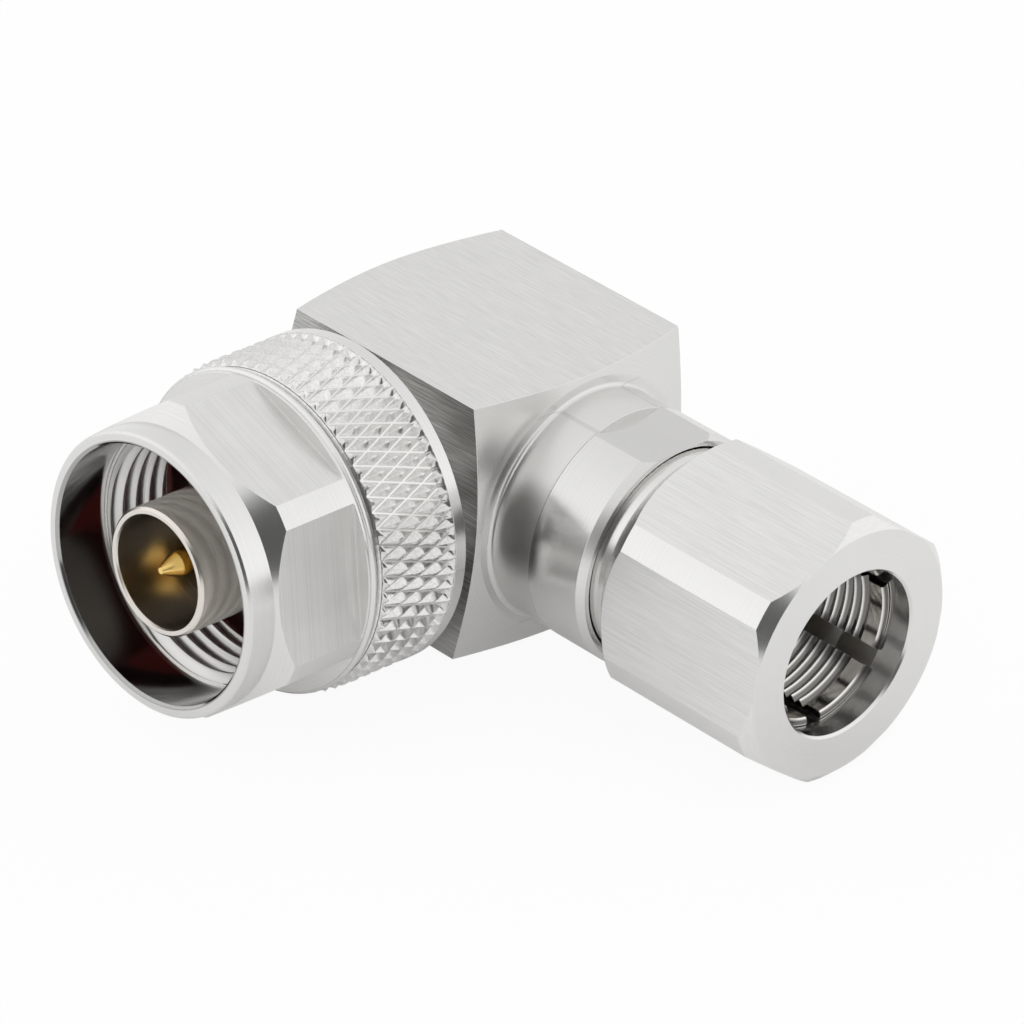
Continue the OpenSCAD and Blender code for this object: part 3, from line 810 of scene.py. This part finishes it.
class PLUG_OT_seals(Operator):
    """Finishes the face gasket and the rubber seals"""

    bl_idname = "plug.seals"
    bl_label = "Seals"

    def execute(self, context):
        finish = context.scene.plug_finish
        roughness = finish.silicone_roughness
        dress("face_gasket", soft_material("silicone", finish.silicone, roughness, RUBBER_GRAIN))
        roughness = finish.rubber_roughness
        rubber = soft_material("black_rubber", finish.rubber, roughness, RUBBER_GRAIN)
        for node in ("jacket_seal", "cap_seal"):
            dress(node, rubber)
        return {"FINISHED"}


class PLUG_OT_clamp(Operator):
    """Finishes the clamp nut, the collet, the washer and the braid cone"""

    bl_idname = "plug.clamp"
    bl_label = "Cable clamp"

    def execute(self, context):
        finish = context.scene.plug_finish
        dress("clamp_nut", clamp_metal(finish))
        dress("clamp_collet", collet_metal(finish))
        roughness = finish.turned_roughness
        brass = turned_metal("plated_brass", finish.brass, roughness, CABLE_AXIS, ELBOW_CENTRE)
        for node in ("pressure_washer", "braid_cone"):
            dress(node, brass)
        return {"FINISHED"}


def rest_plane():
    """Point and normal of the plane on which the plug lies: knurl, block and clamp nut touch it."""
    under_knurl = Vector((0.0, KNURL_END, NUT_LOW.z))
    under_block = Vector((0.0, BLOCK_HIGH.y, BLOCK_LOW.z))
    under_clamp = Vector((CLAMP_HIGH.x - CLAMP_CHAMFER, ELBOW_CENTRE.y, CLAMP_LOW.z))
    normal = (under_clamp - under_knurl).cross(under_block - under_knurl).normalized()
    return under_knurl, normal


def camera_axes(stage):
    """Right, up and forward directions of the camera."""
    a, e, r = stage.azimuth, stage.elevation, stage.roll
    forward = Vector((-math.sin(a) * math.cos(e), math.cos(a) * math.cos(e), -math.sin(e)))
    level = Vector((math.cos(a), math.sin(a), 0.0))
    upright = level.cross(forward)
    right = level * math.cos(r) + upright * math.sin(r)
    up = upright * math.cos(r) - level * math.sin(r)
    return right, up, forward


def add_camera(stage):
    right, up, forward = camera_axes(stage)
    aim = ELBOW_CENTRE + right * stage.aim_right + up * stage.aim_up
    data = bpy.data.cameras.new("plug_camera")
    data.sensor_width = 36.0
    data.lens = stage.lens
    data.clip_start = 0.01
    data.clip_end = 20.0
    camera = bpy.data.objects.new("plug_camera", data)
    turn = Matrix((right, up, -forward)).transposed().to_4x4()
    camera.matrix_world = Matrix.Translation(aim - forward * stage.distance) @ turn
    bpy.context.scene.collection.objects.link(camera)
    bpy.context.scene.camera = camera


def seen_share(tree, direct, mirrored):
    """One share for rays straight from the camera, and one for rays sent on by metal or glass."""
    rays = tree.nodes.new("ShaderNodeLightPath").outputs
    sent_on = maths(tree, "MAXIMUM", rays["Is Glossy Ray"], rays["Is Transmission Ray"])
    straight = product(tree, rays["Is Camera Ray"], direct)
    return maths(tree, "MAXIMUM", straight, product(tree, sent_on, mirrored))


def add_floor(stage):
    """Pale floor with the plug's shadow on it, brighter where it is seen directly."""
    touch, normal = rest_plane()
    mesh = bmesh.new()
    bmesh.ops.create_circle(mesh, cap_ends=True, radius=FLOOR_RADIUS, segments=96)
    data = bpy.data.meshes.new("floor")
    mesh.to_mesh(data)
    mesh.free()
    floor = bpy.data.objects.new("floor", data)
    turn = Vector((0.0, 0.0, 1.0)).rotation_difference(normal).to_matrix().to_4x4()
    floor.matrix_world = Matrix.Translation(touch - normal * FLOOR_GAP) @ turn
    bpy.context.scene.collection.objects.link(floor)
    material = bpy.data.materials.new("pale_floor")
    material.use_nodes = True
    tree = material.node_tree
    shader = tree.nodes["Principled BSDF"]
    shader.inputs["Base Color"].default_value = FLOOR_COLOUR
    shader.inputs["Roughness"].default_value = FLOOR_ROUGHNESS
    white = tree.nodes.new("ShaderNodeEmission")
    white.inputs["Color"].default_value = WHITE
    mix = tree.nodes.new("ShaderNodeMixShader")
    feed(tree, mix.inputs["Fac"], seen_share(tree, stage.floor_seen, stage.floor_mirrored))
    tree.links.new(shader.outputs["BSDF"], mix.inputs[1])
    tree.links.new(white.outputs["Emission"], mix.inputs[2])
    tree.links.new(mix.outputs["Shader"], tree.nodes["Material Output"].inputs["Surface"])
    data.materials.append(material)


def add_tent(stage):
    """Light tent: brighter at its sides, white where seen, and with a dark opening in metal."""
    world = bpy.data.worlds.new("light_tent")
    world.use_nodes = True
    tree = world.node_tree
    tree.nodes.clear()
    direction = tree.nodes.new("ShaderNodeTexCoord").outputs["Generated"]
    a, rise = stage.azimuth, stage.opening_rise
    opening = (math.sin(a) * math.cos(rise), -math.cos(a) * math.cos(rise), math.sin(rise))
    sideways = vector_maths(tree, "DOT_PRODUCT", direction, (math.cos(a), math.sin(a), 0.0))
    squared = product(tree, sideways, sideways)
    cloth = maths(tree, "MULTIPLY_ADD", squared, stage.tent_sides, stage.tent_middle)
    towards = vector_maths(tree, "DOT_PRODUCT", direction, opening)
    outer, inner = math.cos(stage.opening_outer), math.cos(stage.opening_inner)
    dark = smooth_step(tree, towards, outer, inner)
    rays = tree.nodes.new("ShaderNodeLightPath").outputs
    mirrored_dark = product(tree, dark, rays["Is Glossy Ray"], stage.opening_dark)
    lit = product(tree, cloth, maths(tree, "SUBTRACT", 1.0, mirrored_dark))
    background = tree.nodes.new("ShaderNodeBackground")
    background.inputs["Color"].default_value = WHITE
    strength = blend_values(tree, rays["Is Camera Ray"], lit, 1.0)
    feed(tree, background.inputs["Strength"], strength)
    output = tree.nodes.new("ShaderNodeOutputWorld")
    tree.links.new(background.outputs["Background"], output.inputs["Surface"])
    bpy.context.scene.world = world


class PLUG_OT_stage(Operator):
    """Adds the floor, the light tent and the camera"""

    bl_idname = "plug.stage"
    bl_label = "Stage"

    def execute(self, context):
        stage = context.scene.plug_stage
        add_camera(stage)
        add_floor(stage)
        add_tent(stage)
        context.scene.view_settings.view_transform = "Standard"
        return {"FINISHED"}


class PLUG_PT_panel(Panel):
    """Lists the plug's parts, finishes and stage"""

    bl_idname = "PLUG_PT_panel"
    bl_label = "Right-Angle Plug"
    bl_space_type = "VIEW_3D"
    bl_region_type = "UI"
    bl_category = "Plug"

    def draw(self, context):
        for operator in OPERATORS:
            self.layout.operator(operator.bl_idname)
        for group in SETTINGS.values():
            settings = getattr(context.scene, group)
            for name in settings.bl_rna.properties.keys():
                if name not in {"rna_type", "name"}:
                    self.layout.prop(settings, name)


OPERATORS = (
    PLUG_OT_stage,
    PLUG_OT_body,
    PLUG_OT_coupling,
    PLUG_OT_contacts,
    PLUG_OT_seals,
    PLUG_OT_clamp,
)
SETTINGS = {
    PlugFinish: "plug_finish",
    PlugThread: "plug_thread",
    PlugKnurl: "plug_knurl",
    PlugStage: "plug_stage",
}


def register():
    for item in (*SETTINGS, *OPERATORS, PLUG_PT_panel):
        bpy.utils.register_class(item)
    for group, name in SETTINGS.items():
        setattr(bpy.types.Scene, name, PointerProperty(type=group))


def unregister():
    for name in SETTINGS.values():
        delattr(bpy.types.Scene, name)
    for item in reversed((*SETTINGS, *OPERATORS, PLUG_PT_panel)):
        bpy.utils.unregister_class(item)


def main():
    register()
    for operator in OPERATORS:
        family, name = operator.bl_idname.split(".")
        if getattr(getattr(bpy.ops, family), name)() != {"FINISHED"}:
            raise RuntimeError(f"{operator.bl_label} didn't finish")


if __name__ == "__main__":
    main()
